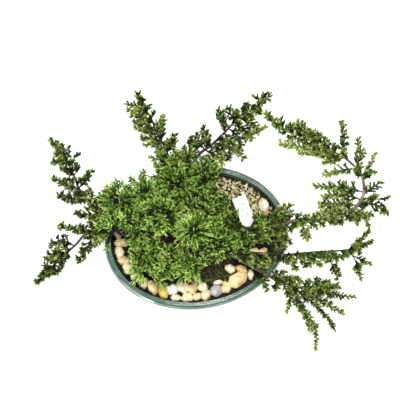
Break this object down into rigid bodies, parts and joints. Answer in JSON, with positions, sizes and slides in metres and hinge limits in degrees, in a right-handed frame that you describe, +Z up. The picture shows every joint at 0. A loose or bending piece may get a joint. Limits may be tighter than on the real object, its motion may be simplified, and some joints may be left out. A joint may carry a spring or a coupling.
{
  "type": "juniper bonsai in a glazed pot",
  "caption": "Low spreading juniper bonsai with a dense crown and long trailing branches, in an oval green glazed pot dressed with river pebbles and gravel.",
  "frame": {"origin": "on the surface that the pot stands on, under the centre of the whole plant's extent", "axes": "+X along the pot's long side, +Y to the pot's back, +Z up"},
  "size_m": [0.4142, 0.3276, 0.1539],
  "materials": {
    "glaze": "sage green gloss glaze, bare dark clay inside",
    "screen": "black moulded mesh",
    "soil": "damp dark potting mix of bark and grit, with a patch of moss",
    "gravel": "fine dry beige and brown chips",
    "pebble": "smooth water-worn river pebbles, cream, tan, gold and white",
    "tag": "white sheet with plain grey-blue marks",
    "bark": "grey-brown flaking bark",
    "arm_foliage": "short dense needles, mid green",
    "crown_foliage": "short dense needles, bright yellow green at the tips"
  },
  "bodies": {
    "root": {"pot": "glaze", "drain_screen_left": "screen", "drain_screen_right": "screen", "soil": "soil", "gravel_bed": "gravel", "plant_tag": "tag", "pebble_01": "pebble", "pebble_02": "pebble", "pebble_03": "pebble", "pebble_04": "pebble", "pebble_05": "pebble", "pebble_06": "pebble", "pebble_07": "pebble", "pebble_08": "pebble", "pebble_09": "pebble", "pebble_10": "pebble", "pebble_11": "pebble", "pebble_12": "pebble", "pebble_13": "pebble", "pebble_14": "pebble", "pebble_15": "pebble", "pebble_16": "pebble", "pebble_17": "pebble", "pebble_18": "pebble", "pebble_19": "pebble", "pebble_20": "pebble", "pebble_21": "pebble", "pebble_22": "pebble", "pebble_23": "pebble", "pebble_24": "pebble", "pebble_25": "pebble", "pebble_26": "pebble", "pebble_27": "pebble", "pebble_28": "pebble", "pebble_29": "pebble", "pebble_30": "pebble", "trunk": "bark", "branch_left_upper": "arm_foliage", "branch_left_lower": "arm_foliage", "branch_back_left": "arm_foliage", "branch_back_right": "arm_foliage", "branch_right_curl": "arm_foliage", "branch_right_middle": "arm_foliage", "branch_right_lower": "arm_foliage", "crown_pad_01": "crown_foliage", "crown_pad_02": "crown_foliage", "crown_pad_03": "crown_foliage", "crown_pad_04": "crown_foliage", "crown_pad_05": "crown_foliage", "crown_pad_06": "crown_foliage", "crown_pad_07": "crown_foliage", "crown_pad_08": "crown_foliage", "crown_pad_09": "crown_foliage", "crown_pad_10": "crown_foliage", "crown_pad_11": "crown_foliage", "crown_pad_12": "crown_foliage", "crown_pad_13": "crown_foliage", "crown_pad_14": "crown_foliage", "crown_pad_15": "crown_foliage"}
  },
  "joints": []
}
